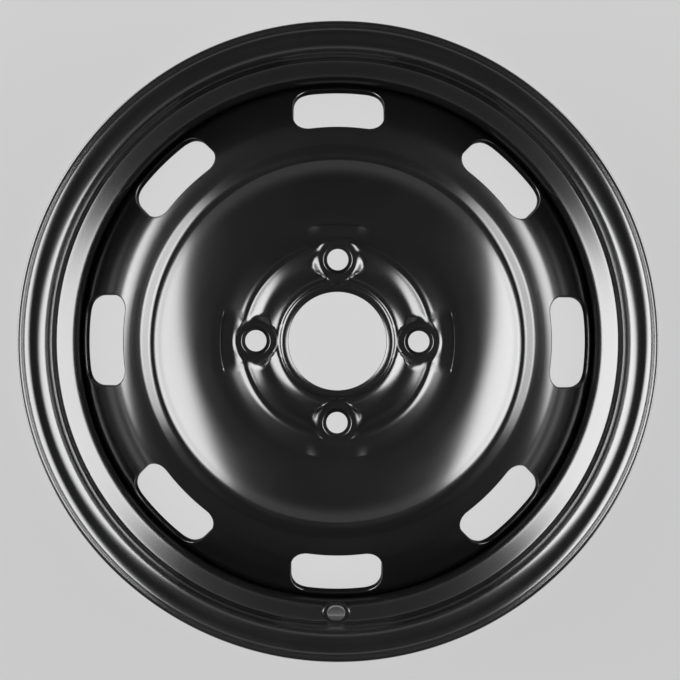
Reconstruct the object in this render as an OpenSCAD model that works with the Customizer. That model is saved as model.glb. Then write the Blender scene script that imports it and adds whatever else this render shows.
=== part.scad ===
// Pressed-steel road wheel, 15 x 6 J, 4 x 108 mm.
// A roll-formed rim, a stamped disc pressed into its well, and the weld beads between them.
// The axle is +Z and the outboard face looks up. z = 0 is the faced hub ring on the back of the disc.

/* [Rim] */
// Bead seat diameter
rim_d = 380.2; // [374:0.1:388]
// Width between the two flange faces
rim_w = 152.4; // [150:0.1:178]
// Thickness of the rim sheet
rim_t = 2.6; // [2.2:0.1:3.2]
// Height of the flange above the bead seat
flange_h = 17.3; // [16.2:0.1:19]
// Radius of the flange curl on the tyre side
curl_r = 9.5; // [7:0.1:9.8]
// How far the lip turns past the top of the curl
lip_turn = 20; // [0:1:40]
// Radius of the bead heel
heel_r = 6.5; // [5:0.1:7.5]
// Taper of the bead seats
seat_taper = 5; // [4:0.5:6]
// Distance from the flange face to the crest of the safety hump
hump_at = 22.5; // [21.5:0.1:23.3]
// Slope of the safety hump
hump_slope = 24; // [16:1:26]
// Radius of the safety hump
hump_r = 8; // [7:0.1:8.6]
// Distance from the outboard flange face to the top of the drop well
well_at = 49.3; // [48.5:0.1:52]
// Depth of the drop well below the bead seat
well_depth = 17.3; // [15:0.1:18]
// Bending radius at the bottom of the well
well_bend = 9.9; // [8:0.1:11]
// Bending radius at the top of the well walls
wall_bend = 6.6; // [5:0.1:8]
// Tilt of the outboard well wall from the wheel plane
wall_tilt = 26; // [22:1:32]
// Tilt of the inboard well wall from the wheel plane
inner_wall_tilt = 50; // [40:1:60]
// Distance from the top of the drop well down to the disc's shoulder
well_lead = 8; // [6:0.1:10]
// Free width of the well bottom past the disc edge
well_spare = 5; // [2:0.5:10]

/* [Valve hole] */
// Diameter of the valve hole
valve_d = 11.3; // [8:0.1:11.6]
// Distance of the valve hole's middle inside the bead seat
valve_in = 10.7; // [8.6:0.1:11.1]
// Diameter of the flat seat round the valve hole
valve_seat_d = 14.8; // [13:0.1:16]
// Diameter of the raised pad under the valve seat
valve_pad_d = 17.2; // [16.2:0.1:19]
// Height of the valve pad above the well wall
valve_pad_h = 0.5; // [0.2:0.1:1]

/* [Disc] */
// Thickness of the disc sheet
disc_t = 3.8; // [3:0.1:4.4]
// Centre bore diameter
bore_d = 65.1; // [60:0.1:67]
// Chamfer on the hub side of the bore
bore_chamfer = 1; // [0.5:0.1:2]
// Slope of the rounded lip where it enters the bore
lip_slope = 35; // [20:1:45]
// Width of the rounded lip from the bore to its crest
lip_w = 3.25; // [2.5:0.05:3.6]
// Distance of the hub ridge's crest from the axle
ridge_r = 49.5; // [47.5:0.1:51]
// Steepest slope of the hub ridge
ridge_slope = 40; // [32:1:44]
// Distance of the groove round the hub from the axle
groove_r = 63.3; // [62:0.1:65]
// Depth by which the back of the groove is faced flat
facing = 0.5; // [0.2:0.1:0.8]
// Distance from the axle to where the bowl starts to climb
floor_r = 88; // [85:0.5:91]
// Steepest slope of the bowl wall
bowl_slope = 43; // [36:1:46]
// Distance of the bowl rim's crest inside the skirt
crest_in = 48.2; // [46.2:0.1:50.2]
// Width of the bowl rim outside its crest
foot_w = 8.6; // [8.2:0.1:10]
// Slope of the vent ring where the vents are cut
vent_slope = 37; // [33:1:40]
// Width of the shoulder between the vent ring and the skirt
shoulder_w = 5.4; // [4.6:0.1:7]
// Length of the skirt that sits in the rim well
skirt_len = 19; // [14:0.5:24]
// Gap between the skirt and the rim well
skirt_fit = 0; // [0:0.01:0.05]

/* [Bolt seats] */
// Bolt circle diameter
pcd = 108; // [107:0.1:110]
// Number of wheel bolts
bolt_n = 4; // [3:1:5]
// Diameter of the bolt holes
hole_d = 14.1; // [13.7:0.1:14.4]
// Largest diameter of the conical bolt seats
seat_d = 18.9; // [18:0.1:19.3]
// Full angle of the conical bolt seats
seat_angle = 60; // [60:1:90]
// Diameter of the flat pad round each bolt seat
pad_d = 28; // [26:0.1:29]
// Depth of the pads below the crest of the hub ridge
pad_sink = 3.8; // [3.4:0.1:4]
// Distance of the outer edge of the wrench pockets from the axle
pocket_r = 77.5; // [75:0.1:79]
// Width of the wrench pockets beside the pads
pocket_w = 34; // [31:0.5:36]
// Height of the wrench pockets above the pads
pocket_rise = 1.1; // [0.9:0.1:1.4]

/* [Vents] */
// Number of vents
vent_n = 8; // [6:1:9]
// Width of a vent across its two ends
vent_w = 60.2; // [40:0.1:66]
// Width of a vent in plan, from its inner to its outer edge
vent_reach = 25.7; // [24:0.1:28]
// Distance of a vent's outer edge inside the skirt
vent_edge = 3.2; // [2.8:0.1:8]
// Corner radius of a vent
vent_corner = 11.6; // [5:0.1:12.5]

/* [Welds] */
// Number of weld beads
bead_n = 8; // [4:1:12]
// Arc covered by each weld bead
bead_arc = 20; // [10:1:28]
// Leg of the weld beads
bead_leg = 3.4; // [2.5:0.1:4]

/* [Hidden] */
$fn = 180;
paint = "#1b1c1e";
// Largest turn of the section line between two points on an arc
arc_step = 8;
// Length by which a cutter runs past what it cuts
past = 1;

// A section line is a list of [radius, height, tilt]. Tilt is the angle of the sheet's own
// outward normal from +Z towards the tyre, so 0 is level, 90 is a wall and 180 looks down.
function at_end(line) = line[len(line) - 1];

// Circular bend of radius r from the tilt of p to tilt a1
function bend(p, r, a1) =
    let (s = a1 > p[2] ? r : -r, n = max(1, ceil(abs(a1 - p[2]) / arc_step)))
    [for (i = [1:n]) let (a = p[2] + (a1 - p[2]) * i / n)
        [p[0] + s * (sin(a) - sin(p[2])), p[1] + s * (cos(a) - cos(p[2])), a]];

// Circular bend from p that reaches radius r1 with tilt a1
function bend_to(p, r1, a1) = bend(p, abs((r1 - p[0]) / (sin(a1) - sin(p[2]))), a1);

// Straight run from p to radius r1, or to height z1
function run_to_r(p, r1) = [[r1, p[1] - (r1 - p[0]) * tan(p[2]), p[2]]];
function run_to_z(p, z1) = [[p[0] + (p[1] - z1) * cos(p[2]) / sin(p[2]), z1, p[2]]];

// Runs a list of steps from the last point of a line: ["bend", radius, tilt],
// ["bend_to", radius reached, tilt], ["to_r", radius reached] or ["to_z", height reached]
function draw(line, steps, i = 0) =
    i == len(steps) ? line :
    let (p = at_end(line), s = steps[i],
         more = s[0] == "bend" ? bend(p, s[1], s[2])
              : s[0] == "bend_to" ? bend_to(p, s[1], s[2])
              : s[0] == "to_r" ? run_to_r(p, s[1])
              : run_to_z(p, s[1]))
    draw(concat(line, more), steps, i + 1);

// The same line on the other side of a sheet of thickness t, from its last point to its first
function far_side(line, t) =
    [for (i = [len(line) - 1:-1:0]) let (p = line[i]) [p[0] - t * sin(p[2]), p[1] - t * cos(p[2])]];

// Height of a line at radius x, between its points from index i
function height_at(line, x, i = 0) =
    (line[i][0] <= x && line[i + 1][0] >= x && line[i + 1][0] > line[i][0]) || i == len(line) - 2
        ? line[i][1] + (line[i + 1][1] - line[i][1]) * (x - line[i][0]) / (line[i + 1][0] - line[i][0])
        : height_at(line, x, i + 1);

// Solid ring of sheet metal with the given outer line and thickness
module sheet_ring(line, t) {
    rotate_extrude() polygon(concat([for (p = line) [p[0], p[1]]], far_side(line, t)));
}

// Disc section. It is drawn from the bore outwards, on the outboard face.
bore_r = bore_d / 2;
lip_r = bore_r + lip_w;
dish_r = lip_r + 3.8;
skirt_r = rim_d / 2 - well_depth - rim_t - skirt_fit;
crest_r = skirt_r - crest_in;
foot_r = crest_r + foot_w;
bowl_w = crest_r - floor_r;
// The vent ring keeps its slope from here to the shoulder
straight_r = skirt_r - shoulder_w - 12.8;
ring_w = straight_r - foot_r;
inner_draft = draw([[bore_r, 0, -lip_slope]], [
    ["bend_to", lip_r, 0],
    ["bend_to", lip_r + 2.1, 55],
    ["bend_to", dish_r, 0],
    ["bend_to", dish_r + 2.3, -38],
    ["bend_to", ridge_r, 0],
    ["bend_to", groove_r - 2.7, ridge_slope],
    ["bend_to", groove_r, 0]]);
outer_draft = draw([[groove_r, 0, 0]], [
    ["bend_to", groove_r + 2, -38],
    ["bend_to", groove_r + 4, -12.5],
    ["bend_to", pocket_r + 0.5, -9],
    ["bend_to", pocket_r + 3, -4.5],
    ["bend_to", floor_r, -7.5],
    ["bend_to", floor_r + 0.29 * bowl_w, -16.2],
    ["bend_to", crest_r - 0.14 * bowl_w, -bowl_slope],
    ["bend_to", crest_r, 0],
    ["bend_to", crest_r + foot_w / 2, vent_slope],
    ["bend_to", foot_r, 5],
    ["bend_to", foot_r + 0.2 * ring_w, 6.5],
    ["bend_to", foot_r + 0.72 * ring_w, 27],
    ["bend_to", straight_r, vent_slope],
    ["to_r", skirt_r - shoulder_w],
    ["bend_to", skirt_r, 90]]);
// Both drafts meet at the groove, which fixes their heights
function raised(line, dz) = [for (p = line) [p[0], p[1] + dz, p[2]]];
groove_z = disc_t - facing;
inner_half = raised(inner_draft, groove_z - at_end(inner_draft)[1]);
outer_half = raised(outer_draft, groove_z);
skirt_top = at_end(outer_half)[1];
skirt_edge = skirt_top - skirt_len;
disc_line = draw(concat(inner_half, [for (i = [1:len(outer_half) - 1]) outer_half[i]]),
    [["to_z", skirt_edge]]);
dish_z = height_at(inner_half, dish_r);
ridge_z = height_at(inner_half, ridge_r);
pad_z = ridge_z - pad_sink;
pocket_z = pad_z + pocket_rise;

// Rim section. It is drawn from the outboard lip to the inboard lip, on the tyre side.
flange_top = rim_d / 2 + flange_h;
well_r = rim_d / 2 - well_depth;
// The well bottom starts above the skirt and ends below it, so the disc carries the rim.
// The wheel's offset is rim_w / 2 - flange_z.
well_top = skirt_top + well_lead;
well_end = skirt_edge - well_spare;
flange_z = well_top + well_at;
wall_a = 180 - wall_tilt;
wall_top_r = rim_d / 2 - 1.6;
inner_ledge_r = rim_d / 2 - 3.4;
// The wall runs from its lower bend, at wall_foot, to its upper bend
wall_foot = [well_r + well_bend * (1 - sin(wall_a)), well_top - well_bend * cos(wall_a)];
wall_head_r = wall_top_r - wall_bend * (1 - sin(wall_a));
wall_head_z = wall_foot[1] + (wall_head_r - wall_foot[0]) * tan(wall_tilt) - wall_bend * cos(wall_a);
// Half of the hump's length along the axle, from its crest to where the slope starts to ease
hump_half = hump_r * sin(hump_slope);
// One flange with its bead seat and hump, drawn from the lip. face is the height of the flange
// face above the hub face and ledge the radius of the ledge between the hump and the well.
function flange_line(face, ledge) =
    draw([[flange_top - curl_r * (1 - cos(lip_turn)), face + curl_r * (1 + sin(lip_turn)), 90 - lip_turn]], [
        ["bend", curl_r, 180],
        ["to_r", rim_d / 2 + heel_r],
        ["bend", heel_r, 90 + seat_taper],
        ["to_z", face - hump_at + 2 * hump_half + hump_r * sin(seat_taper)],
        ["bend", hump_r, 90 - hump_slope],
        ["bend", hump_r, 90],
        ["bend", 0.75 * hump_r, 122],
        ["bend_to", ledge, 90]]);
// The same line turned over, from its last point to its first
function turned_over(line) =
    [for (i = [len(line) - 1:-1:0]) [line[i][0], -line[i][1], 180 - line[i][2]]];
outboard_part = draw(flange_line(flange_z, wall_top_r), [
    ["to_z", wall_head_z],
    ["bend", wall_bend, wall_a],
    ["to_r", wall_foot[0]],
    ["bend", well_bend, 90]]);
well_part = draw([[well_r, well_end, 90]], [
    ["bend", well_bend, 90 - inner_wall_tilt],
    ["to_r", inner_ledge_r - wall_bend * (1 - cos(inner_wall_tilt))],
    ["bend", wall_bend, 90]]);
rim_line = concat(outboard_part, well_part,
    turned_over(flange_line(rim_w - flange_z, inner_ledge_r)));

// Place of the valve hole on the air side of the outboard well wall
valve_r = rim_d / 2 - valve_in;
wall_air = [wall_foot[0] - rim_t * sin(wall_a), wall_foot[1] - rim_t * cos(wall_a)];
valve_z = wall_air[1] + (valve_r - wall_air[0]) * tan(wall_tilt);

// Place of the vents on the outboard face of the disc
vent_out = skirt_r - vent_edge;
vent_in = vent_out - vent_reach;
vent_mid = (vent_in + vent_out) / 2;
vent_mid_z = height_at(outer_half, vent_mid);
function along_vent(x) = (x - vent_mid) * cos(vent_slope) - (height_at(outer_half, x) - vent_mid_z) * sin(vent_slope);

// Outline of a vent in the plane it is punched in: x runs down the slope, y along the ring
function vent_outline() =
    let (r0 = vent_in / cos(vent_slope), r1 = vent_out / cos(vent_slope),
         c0 = along_vent(vent_in) - r0, c1 = along_vent(vent_out) - r1,
         half = vent_w / 2, y = half - vent_corner,
         a1 = asin(y / (r1 - vent_corner)), a0 = asin(y / (r0 + vent_corner)),
         x1 = c1 + (r1 - vent_corner) * cos(a1), x0 = c0 + (r0 + vent_corner) * cos(a0),
         outer = [for (i = [-4:4]) [c1 + r1 * cos(a1 * i / 4), r1 * sin(a1 * i / 4)]],
         outer_corner = [for (i = [1:6]) let (a = a1 + (90 - a1) * i / 6)
             [x1 + vent_corner * cos(a), y + vent_corner * sin(a)]],
         inner_corner = [for (i = [0:5]) let (a = 90 + (90 + a0) * i / 6)
             [x0 + vent_corner * cos(a), y + vent_corner * sin(a)]],
         inner = [for (i = [4:-1:-4]) [c0 + r0 * cos(a0 * i / 4), r0 * sin(a0 * i / 4)]],
         right = concat(outer_corner, inner_corner))
    concat(outer, right, inner, [for (i = [len(right) - 1:-1:0]) [right[i][0], -right[i][1]]]);

// Plain disc. Its back follows the front from the foot of the bore lip outwards.
module disc_ring() {
    back_z = dish_z - disc_t;
    rotate_extrude() polygon(concat(
        [for (p = disc_line) [p[0], p[1]]],
        far_side([for (p = disc_line) if (p[0] >= dish_r) p], disc_t),
        [[bore_r + bore_chamfer, back_z], [bore_r, back_z + bore_chamfer]]));
}

// Repeats its children n times round the axle
module round_axle(n, first = 0) {
    for (i = [0:n - 1]) rotate([0, 0, first + 360 * i / n]) children();
}

// Puts its children at the valve hole, with +Z along the valve
module at_valve() {
    translate([0, -valve_r, valve_z]) rotate([-wall_tilt, 0, 0]) children();
}

module rim() {
    color(paint) difference() {
        union() {
            sheet_ring(rim_line, rim_t);
            at_valve() translate([0, 0, -rim_t]) cylinder(d = valve_pad_d, h = rim_t + valve_pad_h);
        }
        at_valve() translate([0, 0, valve_pad_h]) cylinder(d = valve_seat_d, h = 2 * rim_t);
        at_valve() translate([0, 0, -3 * rim_t]) cylinder(d = valve_d, h = 6 * rim_t);
    }
}

// Plan of a wrench pocket, or of its floor when grown by a margin
module pocket_plan(margin) {
    half = pocket_w / 2 + margin;
    r_in = groove_r + 6.2;
    r_out = pocket_r + margin;
    polygon([[r_in, half], [r_out - 3, half + 1.4], [r_out, half - 0.6],
        [r_out, 0.6 - half], [r_out - 3, -half - 1.4], [r_in, -half]]);
}

// Floor of one wrench pocket
module pocket_floor() {
    translate([0, 0, pocket_z - disc_t]) linear_extrude(height = 0.87 * disc_t) pocket_plan(disc_t / 2);
}

// Hollows of one pocket and behind one pad
module pocket_cut() {
    translate([0, 0, pocket_z]) linear_extrude(height = 2 * disc_t) pocket_plan(0);
    translate([pcd / 2, 0, -disc_t]) cylinder(d = pad_d, h = pad_z + past);
}

// Pad with the funnel that carries one conical bolt seat down to the hub face
module pad() {
    translate([pcd / 2, 0, 0]) {
        translate([0, 0, pad_z - disc_t])
            cylinder(d1 = pad_d + 3, d2 = pad_d - 3 * past / disc_t, h = disc_t + past);
        translate([0, 0, -past])
            cylinder(d1 = hole_d + 4.4, d2 = seat_d + 5, h = pad_z - disc_t + 2 * past);
    }
}

// Level face of one pad, with its conical seat and hole
module seat_cut() {
    cone_h = (seat_d - hole_d) / 2 / tan(seat_angle / 2);
    translate([pcd / 2, 0, 0]) {
        translate([0, 0, pad_z]) cylinder(d1 = pad_d + 0.8, d2 = pad_d + 5, h = disc_t);
        translate([0, 0, -disc_t]) cylinder(d = hole_d, h = 3 * disc_t);
        translate([0, 0, pad_z - cone_h])
            cylinder(d1 = hole_d, d2 = seat_d + 2 * past * tan(seat_angle / 2), h = cone_h + past);
    }
}

module vent_cut() {
    translate([vent_mid, 0, vent_mid_z]) rotate([0, vent_slope, 0])
        linear_extrude(height = 8 * disc_t, center = true) polygon(vent_outline());
}

module disc() {
    color(paint) difference() {
        union() {
            difference() {
                union() {
                    disc_ring();
                    round_axle(bolt_n) pocket_floor();
                }
                round_axle(bolt_n) pocket_cut();
            }
            round_axle(bolt_n) pad();
        }
        round_axle(bolt_n) seat_cut();
        round_axle(vent_n) vent_cut();
        // Faces the hub ring and the ends of the funnels
        translate([0, 0, -disc_t]) cylinder(r = floor_r, h = disc_t);
    }
}

// One weld bead in the corner between the skirt's edge and the well
module weld_bead() {
    bulge = bead_leg * 0.62;
    rotate([0, 0, -bead_arc / 2]) rotate_extrude(angle = bead_arc)
        polygon([[skirt_r, skirt_edge], [skirt_r, skirt_edge - bead_leg],
            [skirt_r - bulge, skirt_edge - bulge], [skirt_r - bead_leg, skirt_edge]]);
}

module weld_beads() {
    color(paint) round_axle(bead_n, 180 / bead_n) weld_bead();
}

rim();
disc();
weld_beads();
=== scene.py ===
"""Pressed-steel road wheel: a roll-formed rim, a stamped disc and the welds between them."""

import logging
import math
from dataclasses import dataclass, field
from enum import Enum

import bmesh
import bpy
import numpy as np
from mathutils import Matrix, Vector


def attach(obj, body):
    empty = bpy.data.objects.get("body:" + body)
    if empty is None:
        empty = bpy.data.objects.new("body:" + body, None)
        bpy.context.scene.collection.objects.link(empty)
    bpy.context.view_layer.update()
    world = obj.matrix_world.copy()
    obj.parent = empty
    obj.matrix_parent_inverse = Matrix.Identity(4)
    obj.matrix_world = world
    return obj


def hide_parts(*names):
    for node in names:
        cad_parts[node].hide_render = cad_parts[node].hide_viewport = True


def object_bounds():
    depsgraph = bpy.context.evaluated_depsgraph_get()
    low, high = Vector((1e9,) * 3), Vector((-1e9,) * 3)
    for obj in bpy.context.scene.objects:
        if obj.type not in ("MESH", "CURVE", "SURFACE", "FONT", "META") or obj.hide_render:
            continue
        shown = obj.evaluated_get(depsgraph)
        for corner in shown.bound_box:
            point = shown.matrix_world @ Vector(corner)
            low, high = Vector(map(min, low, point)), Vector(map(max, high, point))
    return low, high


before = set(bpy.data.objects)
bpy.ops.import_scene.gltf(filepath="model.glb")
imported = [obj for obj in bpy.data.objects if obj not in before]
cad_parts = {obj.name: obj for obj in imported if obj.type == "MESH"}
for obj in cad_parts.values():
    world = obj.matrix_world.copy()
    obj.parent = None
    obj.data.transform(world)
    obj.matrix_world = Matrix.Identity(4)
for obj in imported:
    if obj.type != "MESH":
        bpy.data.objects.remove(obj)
CAD_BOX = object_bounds()
LOG = logging.getLogger("wheel")
MM = 0.001


class Layer(Enum):
    """Face of a sheet of metal."""

    FRONT = 1
    BACK = 0


class Side(Enum):
    """Side of the studio, as a sign along X."""

    LEFT = -1
    RIGHT = 1


def linear_colour(code: str) -> tuple[float, float, float, float]:
    """Turns an sRGB hex colour to linear.

    Args:
        code: Colour such as "#1a1a1c".

    Returns:
        Linear red, green, blue and an alpha of one.
    """
    parts = [int(code[i:i + 2], 16) / 255 for i in (1, 3, 5)]
    lin = [p / 12.92 if p <= 0.04045 else ((p + 0.055) / 1.055) ** 2.4 for p in parts]
    return lin[0], lin[1], lin[2], 1.0


def smooth_step(value: np.ndarray, low: float, high: float) -> np.ndarray:
    """Rises smoothly from 0 at low to 1 at high.

    Args:
        value: Numbers to test.
        low: Where the rise starts.
        high: Where the rise ends.

    Returns:
        Shares from 0 to 1.
    """
    t = np.clip((value - low) / (high - low), 0.0, 1.0)
    return t * t * (3.0 - 2.0 * t)


def add_node(tree: bpy.types.NodeTree, kind: str, settings: dict | None = None,
             links: dict | None = None) -> bpy.types.Node:
    """Adds one node with its settings and links.

    Args:
        tree: Tree that gets the node.
        kind: Blender's name of the node type.
        settings: Property names or input sockets with their values.
        links: Input sockets with the output sockets that feed them.

    Returns:
        The new node.
    """
    node = tree.nodes.new(kind)
    for name, value in (settings or {}).items():
        if isinstance(name, str) and hasattr(node, name):
            setattr(node, name, value)
        else:
            node.inputs[name].default_value = value
    for name, source in (links or {}).items():
        tree.links.new(source, node.inputs[name])
    return node


class SectionLine:
    """Section of a sheet, drawn as a chain of bends and straight runs.

    Tilt is the angle of the sheet's normal from +Z towards the tyre, in degrees.
    """

    def __init__(self, radius: float, height: float, tilt: float, step: float = 1.0) -> None:
        """Starts the line.

        Args:
            radius: Distance from the axle in millimetres.
            height: Height above the hub face in millimetres.
            tilt: Tilt of the sheet in degrees.
            step: Turn between two points of a bend, in degrees.
        """
        self.step = step
        self.rows: list[tuple[float, float, float]] = [(radius, height, tilt)]

    def bend(self, size: float, tilt: float) -> "SectionLine":
        """Adds a circular bend of the given radius up to a tilt.

        Args:
            size: Radius of the bend in millimetres.
            tilt: Tilt at its end in degrees.

        Returns:
            The line itself.
        """
        r0, z0, a0 = self.rows[-1]
        sign = size if tilt > a0 else -size
        count = max(1, math.ceil(abs(tilt - a0) / self.step))
        start = math.radians(a0)
        for i in range(1, count + 1):
            a = math.radians(a0 + (tilt - a0) * i / count)
            self.rows.append((r0 + sign * (math.sin(a) - math.sin(start)),
                              z0 + sign * (math.cos(a) - math.cos(start)), math.degrees(a)))
        return self

    def bend_to(self, radius: float, tilt: float) -> "SectionLine":
        """Adds the circular bend that reaches a radius with a tilt.

        Args:
            radius: Distance from the axle reached, in millimetres.
            tilt: Tilt reached, in degrees.

        Returns:
            The line itself.
        """
        r0, _, a0 = self.rows[-1]
        turn = math.sin(math.radians(tilt)) - math.sin(math.radians(a0))
        return self.bend(abs((radius - r0) / turn), tilt)

    def run_to(self, radius: float | None = None, height: float | None = None) -> "SectionLine":
        """Adds a straight run to a radius or to a height.

        Args:
            radius: Distance from the axle reached, in millimetres.
            height: Height reached, in millimetres, if no radius is given.

        Returns:
            The line itself.
        """
        r0, z0, a0 = self.rows[-1]
        a = math.radians(a0)
        if radius is None:
            radius = r0 + (z0 - height) * math.cos(a) / math.sin(a)
        else:
            height = z0 - (radius - r0) * math.tan(a)
        count = max(1, math.ceil(math.hypot(radius - r0, height - z0) / 1.5))
        for i in range(1, count + 1):
            self.rows.append((r0 + (radius - r0) * i / count, z0 + (height - z0) * i / count, a0))
        return self

    def raised(self, rise: float) -> "SectionLine":
        """Moves the line along the axle and returns it."""
        self.rows = [(r, z + rise, a) for r, z, a in self.rows]
        return self

    def turned_over(self) -> "SectionLine":
        """Mirrors the line in the wheel plane, runs it backwards and returns it."""
        self.rows = [(r, -z, 180.0 - a) for r, z, a in reversed(self.rows)]
        return self

    def followed_by(self, other: "SectionLine") -> "SectionLine":
        """Adds the points of another line to this one.

        Args:
            other: Line that starts where this one ends, or is joined by a straight run.

        Returns:
            The line itself.
        """
        r0, z0, a0 = self.rows[-1]
        r1, z1, _ = other.rows[0]
        gap = math.hypot(r1 - r0, z1 - z0)
        count = math.ceil(gap / 1.5)
        for i in range(1, count):
            self.rows.append((r0 + (r1 - r0) * i / count, z0 + (z1 - z0) * i / count, a0))
        self.rows += other.rows[0 if gap > 1e-6 else 1:]
        return self

    def table(self) -> np.ndarray:
        """Lists the line by length.

        Returns:
            Rows of length, radius, height and tilt.
        """
        line = np.array(self.rows)
        steps = np.hypot(np.diff(line[:, 0]), np.diff(line[:, 1]))
        return np.column_stack([np.concatenate([[0.0], np.cumsum(steps)]), line])


class SheetBlank:
    """Ring of sheet metal, cut flat and then pressed to its section.

    Flat, a point's distance from the axle is its length along the section plus a base.
    """

    def __init__(self, name: str, line: np.ndarray, base: float, columns: int) -> None:
        """Keeps the section of the ring.

        Args:
            name: Name of the finished piece.
            line: Rows of length, radius, height and tilt.
            base: Flat radius of the ring's first edge, in millimetres.
            columns: Number of columns round the axle.
        """
        self.name = name
        self.line = line
        self.base = base
        self.columns = columns
        # A ring is bridged from below, as two flat loops would be paired the wrong way round
        self.bridge_depth = -8.0
        self.obj: bpy.types.Object | None = None

    def length_at(self, radius: float) -> float:
        """Returns the length at which the rising part of the section passes a radius."""
        return float(np.interp(radius, self.line[:, 1], self.line[:, 0]))

    def at(self, length: np.ndarray) -> tuple[np.ndarray, np.ndarray, np.ndarray]:
        """Finds points of the section.

        Args:
            length: Lengths along the section.

        Returns:
            Radius, height and tilt in radians.
        """
        table = self.line
        radius = np.interp(length, table[:, 0], table[:, 1])
        height = np.interp(length, table[:, 0], table[:, 2])
        return radius, height, np.radians(np.interp(length, table[:, 0], table[:, 3]))

    def spaced_rows(self, zones: list[tuple[float, float, float]]) -> list[float]:
        """Chooses the rows of the ring's mesh.

        Args:
            zones: Length at which each zone ends, its largest turn between two rows in degrees
                and its largest distance between two rows in millimetres.

        Returns:
            Lengths of the rows, in order.
        """
        lengths = self.line[:, 0]
        turned = np.concatenate([[0.0], np.cumsum(np.abs(np.diff(self.line[:, 3])))])
        rows = [0.0]
        for end, turn, run in zones:
            effort = turned / turn + lengths / run
            e0, e1 = np.interp([rows[-1], end], lengths, effort)
            count = max(1, math.ceil(e1 - e0))
            rows += [float(np.interp(e0 + (e1 - e0) * i / count, effort, lengths)) for i in range(1, count)]
            rows.append(end)
        return rows

    def lay_out(self, rows: list[float]) -> None:
        """Spins a row of points into the flat ring and stays in edit mode.

        Args:
            rows: Lengths of the rows.
        """
        bpy.ops.object.select_all(action="DESELECT")
        bpy.ops.mesh.primitive_circle_add(vertices=len(rows), radius=1.0)
        self.obj = bpy.context.object
        self.obj.name = self.name
        self.obj.data.name = self.name
        bpy.ops.object.mode_set(mode="EDIT")
        bm = bmesh.from_edit_mesh(self.obj.data)
        bm.verts.ensure_lookup_table()
        closing = bm.edges.get((bm.verts[0], bm.verts[-1]))
        bm.edges.remove(closing)
        for vert, length in zip(bm.verts, rows):
            vert.co = (self.base + length, 0.0, 0.0)
        bmesh.update_edit_mesh(self.obj.data)
        bpy.ops.mesh.select_all(action="SELECT")
        bpy.ops.mesh.spin(steps=self.columns, angle=2.0 * math.pi, center=(0, 0, 0), axis=(0, 0, 1))
        bpy.ops.mesh.select_all(action="SELECT")
        bpy.ops.mesh.remove_doubles(threshold=0.05)
        bpy.ops.mesh.select_all(action="DESELECT")

    def local(self, point: Vector, azimuth: float) -> tuple[float, float]:
        """Returns a flat point's length along the section and its angle from an azimuth."""
        turn = math.atan2(point.y, point.x) - azimuth
        return math.hypot(point.x, point.y) - self.base, math.remainder(turn, 2.0 * math.pi)

    def refine(self, low: float, high: float, azimuth: float, half: float, cuts: int) -> None:
        """Splits the columns of one sector into narrower ones.

        Args:
            low: Length at the sector's inner edge.
            high: Length at its outer edge.
            azimuth: Angle of its middle, in radians.
            half: Half of its width as an angle, in radians.
            cuts: Number of cuts in each column.
        """
        bpy.ops.mesh.select_mode(type="EDGE")
        bpy.ops.mesh.select_all(action="DESELECT")
        bm = bmesh.from_edit_mesh(self.obj.data)
        for edge in bm.edges:
            (s0, a0), (s1, a1) = (self.local(vert.co, azimuth) for vert in edge.verts)
            level = abs(s0 - s1) < 0.02 and abs(a0 - a1) > 1e-4
            if level and low - 0.05 < s0 < high + 0.05 and max(abs(a0), abs(a1)) < half + 1e-3:
                edge.select_set(True)
        bmesh.update_edit_mesh(self.obj.data)
        bpy.ops.mesh.subdivide(number_cuts=cuts, ngon=False)

    def cut_window(self, low: float, high: float, azimuth: float, half: float) -> list[Vector]:
        """Takes a window out of the flat ring.

        Args:
            low: Length at the window's inner edge.
            high: Length at its outer edge.
            azimuth: Angle of its middle, in radians.
            half: Half of its width as an angle, in radians.

        Returns:
            The places round the window, in order.
        """
        bpy.ops.mesh.select_mode(type="FACE")
        bpy.ops.mesh.select_all(action="DESELECT")
        bm = bmesh.from_edit_mesh(self.obj.data)
        for face in bm.faces:
            length, turn = self.local(face.calc_center_median(), azimuth)
            if low < length < high and abs(turn) < half:
                face.select_set(True)
        bpy.ops.mesh.delete(type="FACE")
        bpy.ops.mesh.select_mode(type="EDGE")
        bm = bmesh.from_edit_mesh(self.obj.data)
        edges = set()
        for edge in bm.edges:
            ends = [self.local(vert.co, azimuth) for vert in edge.verts]
            inside = [low - 0.05 < s < high + 0.05 and abs(turn) < half + 1e-3 for s, turn in ends]
            if len(edge.link_faces) == 1 and all(inside):
                edges.add(edge)
        return [vert.co.copy() for vert in self.walk(edges)]

    def walk(self, edges: set[bmesh.types.BMEdge]) -> list[bmesh.types.BMVert]:
        """Lists the vertices of a closed loop in order.

        Args:
            edges: All edges of the loop, which the walk uses up.

        Returns:
            Its vertices.
        """
        first = edges.pop()
        loop = [first.verts[0], first.verts[1]]
        while edges:
            follow = next(e for e in loop[-1].link_edges if e in edges)
            edges.discard(follow)
            loop.append(follow.other_vert(loop[-1]))
        return loop[:-1]

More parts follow.
